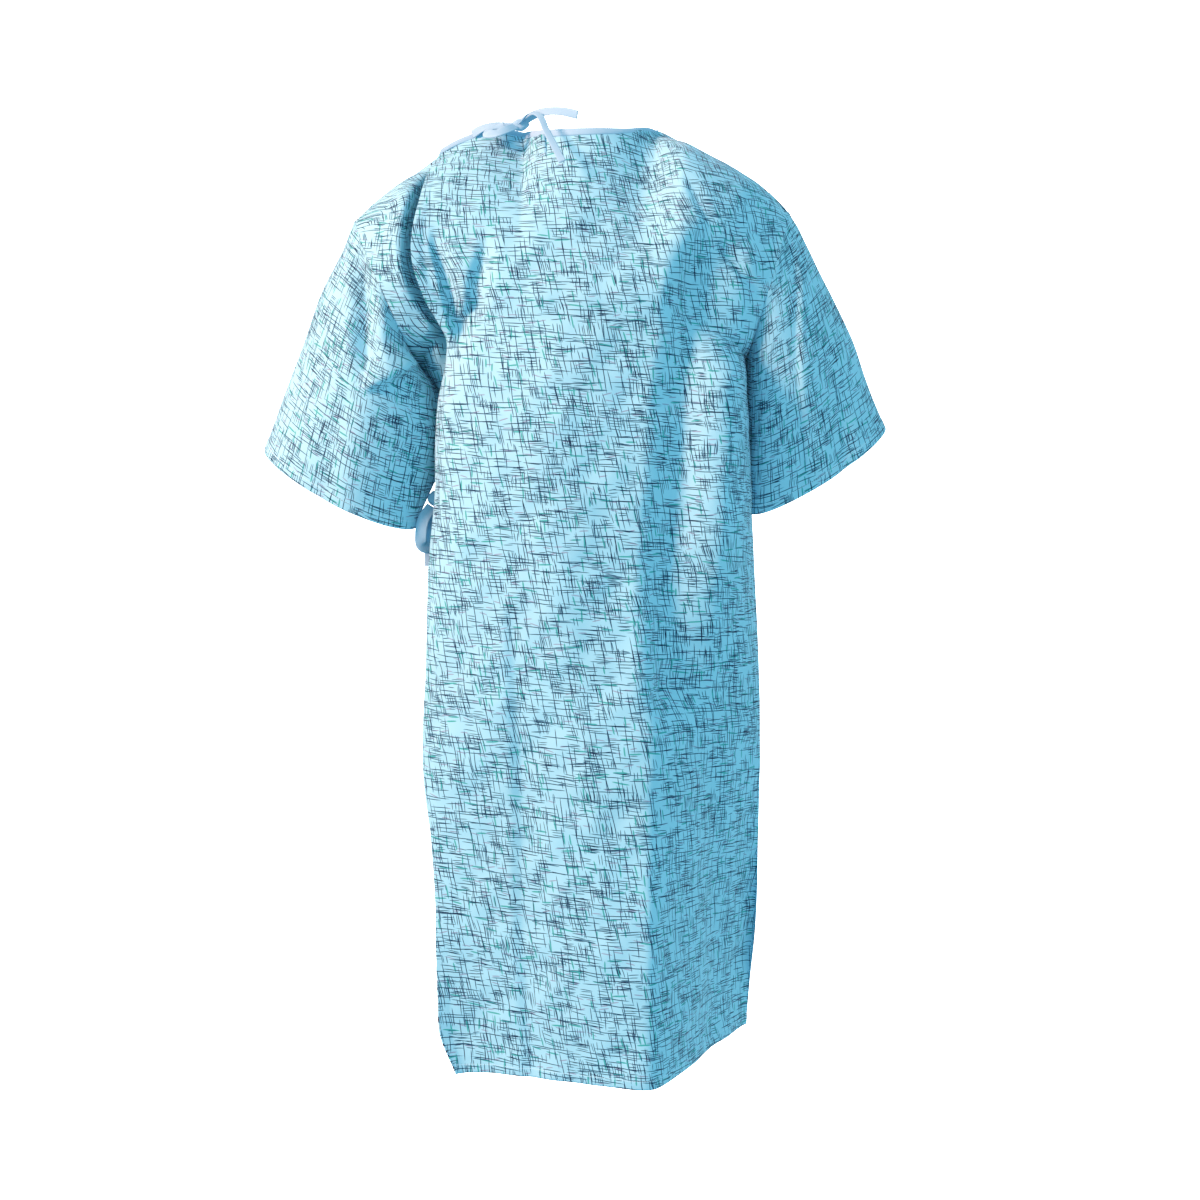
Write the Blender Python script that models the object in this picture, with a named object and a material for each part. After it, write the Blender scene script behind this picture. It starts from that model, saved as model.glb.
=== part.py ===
"""Patient gown with short set-in sleeves and a fully overlapping back.

The gown is shaped as it hangs on a wearer who faces +Y.  The origin is the middle of the neck opening
at the height of the back neckline.  The wearer's left is -X.  Every cloth piece is a thin shell cut
from one surface function, so neighbouring pieces meet along a seam with a small gap between them.
"""
import math

import bmesh
import bpy
from mathutils import Vector

# Overall shape, in metres
LENGTH = 1.181
NECK_HALF = 0.083
NECK_BACK_Y = -0.062
NECK_FRONT_Y = 0.060
NECK_FRONT_DROP = 0.070
SHOULDER_LEFT = Vector((-0.2995, 0.0, -0.111))
SHOULDER_RIGHT = Vector((0.2520, 0.010, -0.098))
UNDERARM_LEFT = Vector((-0.2220, -0.004, -0.293))
UNDERARM_RIGHT = Vector((0.1990, 0.012, -0.285))
ARMHOLE_HALF_DEPTH = 0.080

# Torso: half depths at the chest, and the squarer section it falls into at the hem
CHEST_BACK = 0.135
CHEST_FRONT = 0.125
HEM_LEFT_X = -0.172
HEM_RIGHT = Vector((0.210, 0.125))
HEM_BACK_CORNER = Vector((0.074, -0.150))
HEM_BACK_SLOPE = -0.30
HEM_FRONT_Y = 0.165
WAIST_WIDEN = 0.008

# Back opening
HINGE_X = 0.085
UNDER_EDGE_X = 0.020
UNDER_CORNER_X = -0.055
UNDER_CORNER_DEPTH = 0.30
FLAP_LIFT = 0.009
FLAP_CORNER_X = -0.191
FLAP_TOP_Z = -0.06
# The free edge below its corner: the x it reaches, and the depths between which it gets there
FLAP_EDGE = (
    (-0.216, 0.03, 0.12),
    (-0.176, 0.20, 0.29),
    (-0.198, 0.30, 0.60),
    (HEM_LEFT_X, 0.85, LENGTH),
)

# Sleeves
SLEEVE_HEM_LEFT = Vector((-0.326, -0.010, -0.452))
SLEEVE_HEM_RIGHT = Vector((0.303, 0.030, -0.432))
SLEEVE_HEM_HALF_LEFT = Vector((0.094, 0.0, -0.050))
SLEEVE_HEM_HALF_RIGHT = Vector((-0.076, 0.0, -0.048))
SLEEVE_HEM_DEPTH = 0.070

# Cloth and trims
CLOTH = 0.0010
HEM_THICK = 0.0022
HEM_DEEP = 0.014
SEAM_GAP = 0.0016
SEAM_SHARE = 0.008
BINDING_THICK = 0.0024
BINDING_RISE = 0.0029
TAPE_RADIUS = 0.0030

CLOTH_BLUE = (0.40, 0.72, 0.90)
TAPE_BLUE = (0.36, 0.68, 0.90)


def clear_scene():
    for obj in list(bpy.data.objects):
        bpy.data.objects.remove(obj)


def material(name, colour, roughness):
    mat = bpy.data.materials.new(name)
    mat.use_nodes = True
    shader = mat.node_tree.nodes["Principled BSDF"]
    shader.inputs["Base Color"].default_value = (*colour, 1.0)
    shader.inputs["Roughness"].default_value = roughness
    shader.inputs["Metallic"].default_value = 0.0
    return mat


def smooth(x, low, high):
    t = min(1.0, max(0.0, (x - low) / (high - low)))
    return t * t * (3.0 - 2.0 * t)


def mix(a, b, t):
    return a + (b - a) * t


# ---------------------------------------------------------------- torso surface


def top_z(x, front):
    """Height of the shoulder seam and neckline above x."""
    tip = SHOULDER_LEFT if x < 0.0 else SHOULDER_RIGHT
    out = max(0.0, abs(x) - NECK_HALF) / (abs(tip.x) - NECK_HALF)
    z = tip.z * out ** 1.12
    if front:
        inside = max(0.0, 1.0 - (x / NECK_HALF) ** 2)
        z -= NECK_FRONT_DROP * inside
    return z


def neck_y(x, front):
    inside = max(0.0, 1.0 - (x / NECK_HALF) ** 2)
    return (NECK_FRONT_Y if front else NECK_BACK_Y) * inside ** 0.75


def side_point(z, left, front):
    """Edge of a body panel: round the armhole, then down the side seam."""
    tip = SHOULDER_LEFT if left else SHOULDER_RIGHT
    low = UNDERARM_LEFT if left else UNDERARM_RIGHT
    if z > low.z:
        along = (z - low.z) / (tip.z - low.z)
        round_out = math.sqrt(max(0.0, 1.0 - (2.0 * along - 1.0) ** 2))
        depth = ARMHOLE_HALF_DEPTH * round_out * (1.0 if front else -1.0)
        return Vector((mix(low.x, tip.x, along), mix(low.y, tip.y, along) + depth))
    down = smooth(-z, -low.z, LENGTH)
    waist = math.sin(math.pi * min(1.0, (-z + low.z) / (LENGTH + low.z)))
    if left:
        ease = smooth(-z, -low.z, -low.z + 0.15)
        x = mix(low.x, -0.186, ease) - WAIST_WIDEN * waist
        return Vector((mix(x, HEM_LEFT_X + 0.012, down), mix(low.y, 0.015, down)))
    x = low.x + WAIST_WIDEN * waist
    return Vector((mix(x, HEM_RIGHT.x, down), mix(low.y, HEM_RIGHT.y, down)))


def hem_back_y(x):
    """Back of the hem: a nearly flat back that turns a corner into the right side."""
    flat = HEM_BACK_CORNER.y + HEM_BACK_SLOPE * (x - HEM_BACK_CORNER.x)
    run = (HEM_RIGHT - HEM_BACK_CORNER)
    side = HEM_BACK_CORNER.y + run.y / run.x * (x - HEM_BACK_CORNER.x)
    return 0.5 * (flat + side + math.sqrt((flat - side) ** 2 + 0.03 ** 2))


def depth_y(x, z, front):
    """Depth of the middle of a panel, away from its side edges."""
    down = smooth(-z, 0.35, LENGTH)
    if front:
        return mix(CHEST_FRONT, HEM_FRONT_Y, down)
    return mix(-CHEST_BACK, hem_back_y(x), down)


def torso(q, v, front):
    """Point of the torso: q runs 0 to 1 from the left edge to the right, v from the top to the hem."""
    c = 0.5 - 0.5 * math.cos(math.pi * q)
    x = mix(SHOULDER_LEFT.x, SHOULDER_RIGHT.x, c)
    for _ in range(4):
        z = mix(top_z(x, front), -LENGTH, v)
        left_z = mix(SHOULDER_LEFT.z, -LENGTH, v)
        right_z = mix(SHOULDER_RIGHT.z, -LENGTH, v)
        left = side_point(left_z, True, front)
        right = side_point(right_z, False, front)
        x = mix(left.x, right.x, c)
    z += (left_z - mix(top_z(left.x, front), -LENGTH, v)) * (1.0 - c) ** 8
    z += (right_z - mix(top_z(right.x, front), -LENGTH, v)) * c ** 8
    arch = math.sqrt(max(0.0, 1.0 - abs(2.0 * c - 1.0) ** 2.6))
    below = min(1.0, (top_z(x, front) - z) / 0.17)
    rise = math.sqrt(1.0 - (1.0 - below) ** 2)
    edge = mix(left.y, right.y, c) + neck_y(x, front) * (1.0 - rise)
    share = arch * (rise if z > -0.5 else 1.0)
    apart = 0.5 * SEAM_GAP if front else -0.5 * SEAM_GAP
    return Vector((x, mix(edge, depth_y(x, z, front), share) + apart, z))


def q_at(x, v, front):
    """The q at which the torso surface reaches x on the row v."""
    low, high = 0.0, 1.0
    for _ in range(24):
        mid = 0.5 * (low + high)
        if torso(mid, v, front).x < x:
            low = mid
        else:
            high = mid
    return 0.5 * (low + high)


def flap_edge_x(z):
    """Free edge of the outer back panel: from the left shoulder, past the armhole, down the side."""
    x = FLAP_CORNER_X
    for reached, start, end in FLAP_EDGE:
        x = mix(x, reached, smooth(-z, start, end))
    return x


def outer_flap(u, v):
    left = q_at(flap_edge_x(mix(FLAP_TOP_Z, -LENGTH, v)), v, False)
    right = q_at(HINGE_X - 0.5 * SEAM_GAP, v, False)
    return torso(mix(left, right, u), v, False)


def outer_fixed(u, v):
    left = q_at(HINGE_X + 0.5 * SEAM_GAP, v, False)
    return torso(mix(left, 1.0 - SEAM_SHARE, u), v, False)


def under_back(u, v):
    edge_x = mix(UNDER_CORNER_X, UNDER_EDGE_X, smooth(v, 0.0, UNDER_CORNER_DEPTH))
    q = mix(SEAM_SHARE, q_at(edge_x, v, False), u)
    return torso(q, v, False)


def front_body(u, v):
    return torso(mix(SEAM_SHARE, 1.0 - SEAM_SHARE, u), v, True)


# ---------------------------------------------------------------- sleeves


def armhole_point(turn, left):
    """Armhole ring: turn 0 at the shoulder, a quarter turn at the back, half at the underarm."""
    tip = SHOULDER_LEFT if left else SHOULDER_RIGHT
    low = UNDERARM_LEFT if left else UNDERARM_RIGHT
    along = 0.5 + 0.5 * math.cos(2.0 * math.pi * turn)
    back = -ARMHOLE_HALF_DEPTH * math.sin(2.0 * math.pi * turn)
    point = mix(low, tip, along)
    return point + Vector((0.0, back, 0.0))


def sleeve_hem_point(turn, left):
    centre = SLEEVE_HEM_LEFT if left else SLEEVE_HEM_RIGHT
    half = SLEEVE_HEM_HALF_LEFT if left else SLEEVE_HEM_HALF_RIGHT
    back = -SLEEVE_HEM_DEPTH * math.sin(2.0 * math.pi * turn)
    return centre - half * math.cos(2.0 * math.pi * turn) + Vector((0.0, back, 0.0))


def sleeve(turn, v, left):
    start = armhole_point(turn, left)
    end = sleeve_hem_point(turn, left)
    outward = Vector((-1.0 if left else 1.0, 0.0, 0.0))
    belly = 0.010 * math.sin(math.pi * v)
    return mix(start, end, v) + outward * (1.5 * SEAM_GAP + belly)


# ---------------------------------------------------------------- solids


def normal_at(surface, u, v):
    step = 1e-4
    along_u = surface(u + step, v) - surface(u - step, v)
    low, high = max(v - step, 0.0), min(v + step, 1.0)
    along_v = surface(u, high) - surface(u, low)
    return along_u.cross(along_v).normalized()


def rows(start, end, count):
    return [mix(start, end, i / (count - 1)) for i in range(count)]


FLAP_COLUMNS = rows(0.055, 1.0, 14)
FIXED_COLUMNS = rows(0.0, 1.0, 12)
FRONT_COLUMNS = rows(0.0, 1.0, 25)
UNDER_COLUMNS = rows(0.0, 0.945, 15)


def finish(name, bm, mat):
    bmesh.ops.recalc_face_normals(bm, faces=bm.faces)
    mesh = bpy.data.meshes.new(name)
    bm.to_mesh(mesh)
    bm.free()
    obj = bpy.data.objects.new(name, mesh)
    bpy.context.scene.collection.objects.link(obj)
    mesh.materials.append(mat)
    mesh.shade_smooth()
    mesh.set_sharp_from_angle(angle=math.radians(40))
    return obj


def no_lift(_u):
    return 0.0


def flap_lift(_u):
    return -FLAP_LIFT


def fixed_lift(u):
    """The outer layer comes down onto the side seam."""
    return -FLAP_LIFT * (1.0 - smooth(u, 0.1, 0.8))


def shell(name, surface, us, vs, mat, thick=CLOTH, lift=no_lift, ring=False):
    """A cloth piece: two offset copies of the surface, closed round the rim."""
    bm = bmesh.new()
    skins = []
    for side in (0.5, -0.5):
        grid = []
        for u in us:
            line = []
            for v in vs:
                offset = normal_at(surface, u, v) * (lift(u) + side * thick)
                line.append(bm.verts.new(surface(u, v) + offset))
            grid.append(line)
        skins.append(grid)
    outer, inner = skins
    across = len(us) if ring else len(us) - 1
    for i in range(across):
        k = (i + 1) % len(us)
        for j in range(len(vs) - 1):
            bm.faces.new((outer[i][j], outer[k][j], outer[k][j + 1], outer[i][j + 1]))
            bm.faces.new((inner[i][j], inner[i][j + 1], inner[k][j + 1], inner[k][j]))
        for j in (0, len(vs) - 1):
            bm.faces.new((outer[i][j], outer[k][j], inner[k][j], inner[i][j]))
    if not ring:
        for i in (0, len(us) - 1):
            for j in range(len(vs) - 1):
                bm.faces.new((outer[i][j], outer[i][j + 1], inner[i][j + 1], inner[i][j]))
    return finish(name, bm, mat)


def tape(name, points, mat, radius=TAPE_RADIUS, count=24):
    """A tie: a round cord through a smooth curve along the given points."""
    curve = bpy.data.curves.new(name, "CURVE")
    curve.dimensions = "3D"
    curve.bevel_depth = radius
    curve.bevel_resolution = 2
    curve.use_fill_caps = True
    spline = curve.splines.new("POLY")
    spline.points.add(count - 1)
    for i in range(count):
        point = on_curve(points, i / (count - 1))
        spline.points[i].co = (*point, 1.0)
    obj = bpy.data.objects.new(name, curve)
    bpy.context.scene.collection.objects.link(obj)
    curve.materials.append(mat)
    return obj


def on_curve(points, t):
    """Catmull-Rom point at t between 0 and 1."""
    spans = len(points) - 1
    span = min(int(t * spans), spans - 1)
    s = t * spans - span
    p1 = Vector(points[span])
    p2 = Vector(points[span + 1])
    p0 = Vector(points[span - 1]) if span > 0 else p1 * 2.0 - p2
    p3 = Vector(points[span + 2]) if span + 2 <= spans else p2 * 2.0 - p1
    a = 2.0 * p1
    b = (p2 - p0) * s
    c = (2.0 * p0 - 5.0 * p1 + 4.0 * p2 - p3) * s * s
    d = (3.0 * p1 - p0 - 3.0 * p2 + p3) * s * s * s
    return 0.5 * (a + b + c + d)


def knot(name, centre, size, mat):
    bm = bmesh.new()
    bmesh.ops.create_icosphere(bm, subdivisions=2, radius=1.0)
    bmesh.ops.scale(bm, vec=size, verts=bm.verts)
    bmesh.ops.translate(bm, vec=centre, verts=bm.verts)
    return finish(name, bm, mat)


def binding(name, surface, us, mat, lift, high):
    """Bias binding: a narrow upright strip that stands just above a panel's top edge."""
    bm = bmesh.new()
    rings = []
    for u in us:
        along = surface(u + 1e-3, 0.0) - surface(u - 1e-3, 0.0)
        across = along.cross(Vector((0.0, 0.0, 1.0))).normalized()
        base = surface(u, 0.0) + Vector((0.0, 0.0, lift + BINDING_RISE))
        corners = []
        for side, up in ((-0.5, 0.0), (0.5, 0.0), (0.5, high), (-0.5, high)):
            place = base + across * side * BINDING_THICK + Vector((0.0, 0.0, up))
            corners.append(bm.verts.new(place))
        rings.append(corners)
    for i in range(len(rings) - 1):
        for k in range(4):
            m = (k + 1) % 4
            bm.faces.new((rings[i][k], rings[i][m], rings[i + 1][m], rings[i + 1][k]))
    bm.faces.new(rings[0])
    bm.faces.new(rings[-1])
    return finish(name, bm, mat)


# ---------------------------------------------------------------- the gown


def body_rows(count=24):
    """Rows of every body panel, closer together over the shoulders, ending above the hem."""
    last = 1.0 - (HEM_DEEP + SEAM_GAP) / LENGTH
    return [last * (i / (count - 1)) ** 1.5 for i in range(count)]


def build_body(cloth, trim):
    vs = body_rows()
    full = vs + [1.0]
    hem = [1.0 - HEM_DEEP / LENGTH, 1.0]
    panels = (
        ("front_panel", "hem_front", front_body, FRONT_COLUMNS, no_lift),
        ("back_right_panel", "hem_back_right", outer_fixed, FIXED_COLUMNS, fixed_lift),
        ("back_under_panel", "hem_back_under", under_back, UNDER_COLUMNS, no_lift),
        ("back_flap", "hem_back_flap", outer_flap, FLAP_COLUMNS, flap_lift),
    )
    for name, hem_name, surface, us, lift in panels:
        shell(name, surface, us, vs, cloth, CLOTH, lift)
        shell(hem_name, surface, us, hem, cloth, HEM_THICK, lift)
    shell("flap_edge_hem", outer_flap, [0.0, 0.045], full, cloth, HEM_THICK, flap_lift)
    shell("under_edge_hem", under_back, [0.955, 1.0], full, cloth, HEM_THICK, no_lift)
    us = [0.004, 0.045] + FLAP_COLUMNS[:-1] + [0.998]
    binding("binding_flap", outer_flap, us, trim, FLAP_LIFT, 0.009)
    us = neckline(under_back, UNDER_COLUMNS) + [0.955, 0.99]
    binding("binding_under", under_back, us, trim, 0.0, 0.0034)
    us = neckline(front_body, FRONT_COLUMNS)
    binding("binding_front", front_body, us, trim, 0.0, 0.0040)


def neckline(surface, us):
    """The columns of a panel that end on the neckline."""
    return [u for u in us if abs(surface(u, 0.0).x) < NECK_HALF + 0.004]


def build_sleeves(cloth):
    turns = [i / 24 for i in range(24)]
    for left, side in ((True, "left"), (False, "right")):

        def tube(turn, v, left=left):
            return sleeve(turn, v, left)

        shell(f"sleeve_{side}", tube, turns, rows(0.0, 0.93, 9), cloth, CLOTH, no_lift, True)
        shell(f"sleeve_hem_{side}", tube, turns, [0.94, 1.0], cloth, HEM_THICK, no_lift, True)


def build_neck_ties(trim):
    centre = Vector((-0.106, -0.016, 0.0135))
    knot("neck_tie_knot", centre, Vector((0.013, 0.009, 0.008)), trim)
    root = ((-0.165, -0.012, 0.001), (-0.142, -0.016, 0.008), (-0.1225, -0.017, 0.013))
    tape("neck_tie_shoulder", root, trim)
    loop = (
        (-0.100, -0.029, 0.0125),
        (-0.106, -0.047, 0.011),
        (-0.122, -0.050, 0.008),
        (-0.126, -0.035, 0.009),
    )
    tape("neck_tie_loop", loop, trim)
    tail = (
        (-0.089, -0.019, 0.017),
        (-0.070, -0.036, 0.029),
        (-0.052, -0.052, 0.035),
        (-0.030, -0.066, 0.034),
        (-0.012, -0.076, 0.028),
    )
    tape("neck_tie_tail_up", tail, trim)
    tail = (
        (-0.090, -0.027, 0.0125),
        (-0.074, -0.060, 0.017),
        (-0.058, -0.098, 0.011),
        (-0.045, -0.126, -0.020),
        (-0.028, -0.142, -0.052),
    )
    tape("neck_tie_tail_down", tail, trim)


def build_side_ties(trim):
    v = (0.463 - 0.08) / (LENGTH - 0.08)
    edge = outer_flap(0.0, v) + normal_at(outer_flap, 0.0, v) * -FLAP_LIFT
    centre = edge + Vector((-0.0105, -0.004, 0.0))
    knot("side_tie_knot", centre, Vector((0.008, 0.008, 0.010)), trim)
    loop = (
        centre + Vector((-0.003, -0.004, -0.0135)),
        centre + Vector((-0.016, -0.012, -0.034)),
        centre + Vector((-0.018, -0.013, -0.058)),
        centre + Vector((-0.006, -0.006, -0.064)),
        centre + Vector((0.000, -0.003, -0.050)),
        centre + Vector((0.001, -0.001, -0.030)),
    )
    tape("side_tie_loop", loop, trim)
    tail = (
        centre + Vector((-0.008, 0.006, -0.013)),
        centre + Vector((-0.012, 0.008, -0.050)),
        centre + Vector((-0.010, 0.010, -0.090)),
    )
    tape("side_tie_tail", tail, trim)


def build():
    clear_scene()
    cloth = material("printed_cloth", CLOTH_BLUE, 0.85)
    trim = material("plain_tape", TAPE_BLUE, 0.8)
    build_body(cloth, trim)
    build_sleeves(cloth)
    build_neck_ties(trim)
    build_side_ties(trim)


build()
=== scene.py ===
import math

import bmesh
import bpy
import numpy as np
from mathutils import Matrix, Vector


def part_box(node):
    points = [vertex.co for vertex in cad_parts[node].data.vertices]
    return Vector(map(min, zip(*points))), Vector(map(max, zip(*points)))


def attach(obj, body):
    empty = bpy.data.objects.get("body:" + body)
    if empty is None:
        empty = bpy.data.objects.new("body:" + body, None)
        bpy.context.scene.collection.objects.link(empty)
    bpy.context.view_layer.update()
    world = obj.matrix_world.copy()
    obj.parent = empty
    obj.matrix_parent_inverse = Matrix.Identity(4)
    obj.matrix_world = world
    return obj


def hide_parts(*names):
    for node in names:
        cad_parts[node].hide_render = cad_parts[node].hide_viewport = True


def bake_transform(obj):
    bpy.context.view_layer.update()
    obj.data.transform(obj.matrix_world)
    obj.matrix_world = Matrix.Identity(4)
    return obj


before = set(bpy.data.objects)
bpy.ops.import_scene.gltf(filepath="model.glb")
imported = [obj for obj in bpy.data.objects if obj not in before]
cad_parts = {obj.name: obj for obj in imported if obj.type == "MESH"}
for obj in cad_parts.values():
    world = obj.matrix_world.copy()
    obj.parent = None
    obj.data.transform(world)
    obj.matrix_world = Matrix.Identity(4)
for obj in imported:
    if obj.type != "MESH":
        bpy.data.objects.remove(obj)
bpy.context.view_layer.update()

# Places and sizes in the part's own frame, in metres. The wearer's left is -X and the back faces -Y.
# A "depth" is a distance below the back neckline, so z = -depth.
HEM_DEPTH = 1.171
# Half width of the neck opening, its back and front in plan, and how much lower the front is cut
NECK_HALF = 0.083
NECK_BACK_Y = -0.062
NECK_FRONT_Y = 0.060
NECK_FRONT_DROP = 0.070
# Ends of the armholes and half their size from front to back
SHOULDER_LEFT = (-0.2995, 0.0, -0.106)
SHOULDER_RIGHT = (0.2540, 0.008, -0.094)
UNDERARM_LEFT = (-0.2180, -0.004, -0.293)
UNDERARM_RIGHT = (0.1975, 0.012, -0.285)
ARMHOLE_HALF = 0.080
# The body in plan: the chest, then the hem's front, back corner and right end
CHEST_BACK = 0.135
CHEST_FRONT = 0.125
HEM_FRONT_Y = 0.165
HEM_CORNER = (0.076, -0.150)
HEM_BACK_SLOPE = -0.32
HEM_RIGHT = (0.2095, 0.130)
# Thickness of the cloth and of a hem, height of a hem, width of the tape
CLOTH = 0.0009
HEM_THICK = 0.0024
HEM_FOLD = 0.013
TAPE_WIDE = 0.0110
# Height over which the cloth stands straight up at the neck
EDGE_LIP = 0.009

# Free edge of the over panel: depth, x, y
FREE_EDGE = (
    (0.016, -0.1900, -0.004),
    (0.026, -0.1935, -0.008),
    (0.041, -0.1996, -0.028),
    (0.097, -0.2120, -0.083),
    (0.125, -0.2168, -0.098),
    (0.160, -0.2185, -0.106),
    (0.190, -0.2120, -0.108),
    (0.222, -0.1985, -0.100),
    (0.246, -0.1840, -0.089),
    (0.262, -0.1765, -0.080),
    (0.285, -0.1765, -0.072),
    (0.340, -0.1873, -0.062),
    (0.388, -0.1915, -0.056),
    (0.450, -0.1927, -0.052),
    (0.538, -0.2007, -0.048),
    (0.659, -0.2045, -0.046),
    (0.800, -0.2078, -0.050),
    (0.898, -0.1961, -0.055),
    (0.962, -0.1919, -0.060),
    (1.079, -0.1885, -0.070),
    (1.131, -0.1831, -0.075),
    (1.152, -0.1735, -0.080),
    (1.171, -0.1638, -0.085),
)
# Top edge of the over panel, over both shoulders and the neck between them: x, z
TOP_LINE = (
    (-0.2995, -0.1030), (-0.2765, -0.0830), (-0.2406, -0.0560), (-0.2138, -0.0380),
    (-0.1907, -0.0205), (-0.1673, -0.0060), (-0.1516, 0.0010), (-0.1319, 0.0080),
    (-0.1100, 0.0085), (-0.0812, 0.0040), (-0.0370, 0.0000), (0.0091, 0.0000),
    (0.0500, 0.0030), (0.0700, 0.0080), (0.0850, 0.0090), (0.1100, -0.0020),
    (0.1500, -0.0230), (0.1920, -0.0455), (0.2355, -0.0740), (0.2540, -0.0940),
)
# Right side seam below the underarm: depth, x, y
RIGHT_SEAM = (
    (0.285, 0.1975, 0.012),
    (0.360, 0.2020, 0.010),
    (0.400, 0.2045, 0.010),
    (0.470, 0.2070, 0.012),
    (0.567, 0.2120, 0.016),
    (0.650, 0.2167, 0.024),
    (0.800, 0.2210, 0.045),
    (0.923, 0.2209, 0.075),
    (0.988, 0.2213, 0.093),
    (1.041, 0.2195, 0.105),
    (1.106, 0.2140, 0.118),
    (1.171, 0.2095, 0.130),
)
# Left side seam of the panels under it: depth, x, y
LEFT_SEAM = (
    (0.293, -0.2180, -0.004),
    (0.330, -0.1950, -0.002),
    (0.380, -0.1800, 0.0),
    (0.450, -0.1820, 0.004),
    (0.650, -0.1920, 0.010),
    (0.800, -0.1950, 0.012),
    (0.960, -0.1800, 0.014),
    (1.079, -0.1760, 0.015),
    (1.171, -0.1530, 0.015),
)
# Line down the middle of the body, top and foot
BODY_AXIS = ((0.0, 0.02, 0.0), (0.02, 0.01, -1.2))


# ---------------------------------------------------------------- numbers


def mix(a, b, t):
    return a + (b - a) * t


def smooth(x, low, high):
    t = np.clip((x - low) / (high - low), 0.0, 1.0)
    return t * t * (3.0 - 2.0 * t)


def spline(stations, at, column=1):
    """Smooth curve through stations of (place, value, ...), read at the given places."""
    rows = np.array(stations, float)
    place, value = rows[:, 0], rows[:, column]
    at = np.clip(at, place[0], place[-1])
    slope = np.gradient(value, place)
    i = np.clip(np.searchsorted(place, at) - 1, 0, len(place) - 2)
    step = place[i + 1] - place[i]
    t = (at - place[i]) / step
    rise = (1 + 2 * t) * (1 - t) ** 2 * value[i] + t * t * (3 - 2 * t) * value[i + 1]
    return rise + step * (t * (1 - t) ** 2 * slope[i] - t * t * (1 - t) * slope[i + 1])


def waves(x, z, seed, size):
    """Soft repeatable unevenness, about -1 to 1, with features about size across."""
    rng = np.random.default_rng(seed)
    total = 0.0
    for _ in range(7):
        turn, phase = rng.uniform(0.0, 2.0 * math.pi, 2)
        pitch = size * rng.uniform(0.7, 1.5)
        total = total + np.sin((x * math.cos(turn) + z * math.sin(turn)) * 2 * math.pi / pitch + phase)
    return total / 3.2


def fold(x, depth, line, left, right, height, fade=0.03):
    """A crease along a line of (depth, x): it rises over left and falls away over right, in metres."""
    start, end = line[0][0], line[-1][0]
    off = x - spline(line, depth)
    shape = np.clip(np.where(off < 0, 1.0 + off / left, 1.0 - off / right), 0.0, 1.0)
    shape = shape ** 1.4 * (1.0 - 0.25 * shape ** 3)
    ends = smooth(depth, start - fade, start + fade) * (1.0 - smooth(depth, end - fade, end + fade))
    return height * shape * ends


# ---------------------------------------------------------------- body surfaces


def top_z(x, sunk, front):
    """Height of the top edge, sunk below the over panel's, and cut lower at the front of the neck."""
    z = spline(TOP_LINE, x) - sunk
    if front:
        z = z - NECK_FRONT_DROP * np.clip(1.0 - (x / NECK_HALF) ** 2, 0.0, None)
    return z


def neck_y(x, front):
    inside = np.clip(1.0 - (x / NECK_HALF) ** 2, 0.0, None)
    return (NECK_FRONT_Y if front else NECK_BACK_Y) * inside ** 0.75


def seam_edge(z, left, front):
    """Edge of a panel that ends at the armhole and the side seam: x and y at a height."""
    tip = SHOULDER_LEFT if left else SHOULDER_RIGHT
    low = UNDERARM_LEFT if left else UNDERARM_RIGHT
    along = np.clip((z - low[2]) / (tip[2] - low[2]), 0.0, 1.0)
    depth = ARMHOLE_HALF * np.sqrt(np.clip(1.0 - (2.0 * along - 1.0) ** 2, 0.0, None))
    ring_x = mix(low[0], tip[0], along)
    ring_y = mix(low[1], tip[1], along) + (depth if front else -depth)
    seam = LEFT_SEAM if left else RIGHT_SEAM
    above = z > low[2]
    return (
        np.where(above, ring_x, spline(seam, -z)),
        np.where(above, ring_y, spline(seam, -z, 2)),
    )


def free_edge(z, _left, _front):
    return spline(FREE_EDGE, -z), spline(FREE_EDGE, -z, 2)


def hem_back_y(x):
    """Back of the hem in plan: nearly flat, then it turns a corner into the right side."""
    flat = HEM_CORNER[1] + HEM_BACK_SLOPE * (x - HEM_CORNER[0])
    slope = (HEM_RIGHT[1] - HEM_CORNER[1]) / (HEM_RIGHT[0] - HEM_CORNER[0])
    side = HEM_CORNER[1] + slope * (x - HEM_CORNER[0])
    return 0.5 * (flat + side + np.sqrt((flat - side) ** 2 + 0.022 ** 2))


def middle_y(x, z, front):
    down = smooth(-z, 0.35, HEM_DEPTH)
    if front:
        return mix(CHEST_FRONT, HEM_FRONT_Y, down)
    return mix(-CHEST_BACK, hem_back_y(x), down)


def upright(x, front):
    """1 where the cloth stands up from its top edge, at the neck, and 0 on the round shoulders."""
    left = smooth(x, -0.110, -0.070) if front else smooth(x, -0.250, -0.190)
    return left * (1.0 - smooth(x, 0.060, 0.120))


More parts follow.
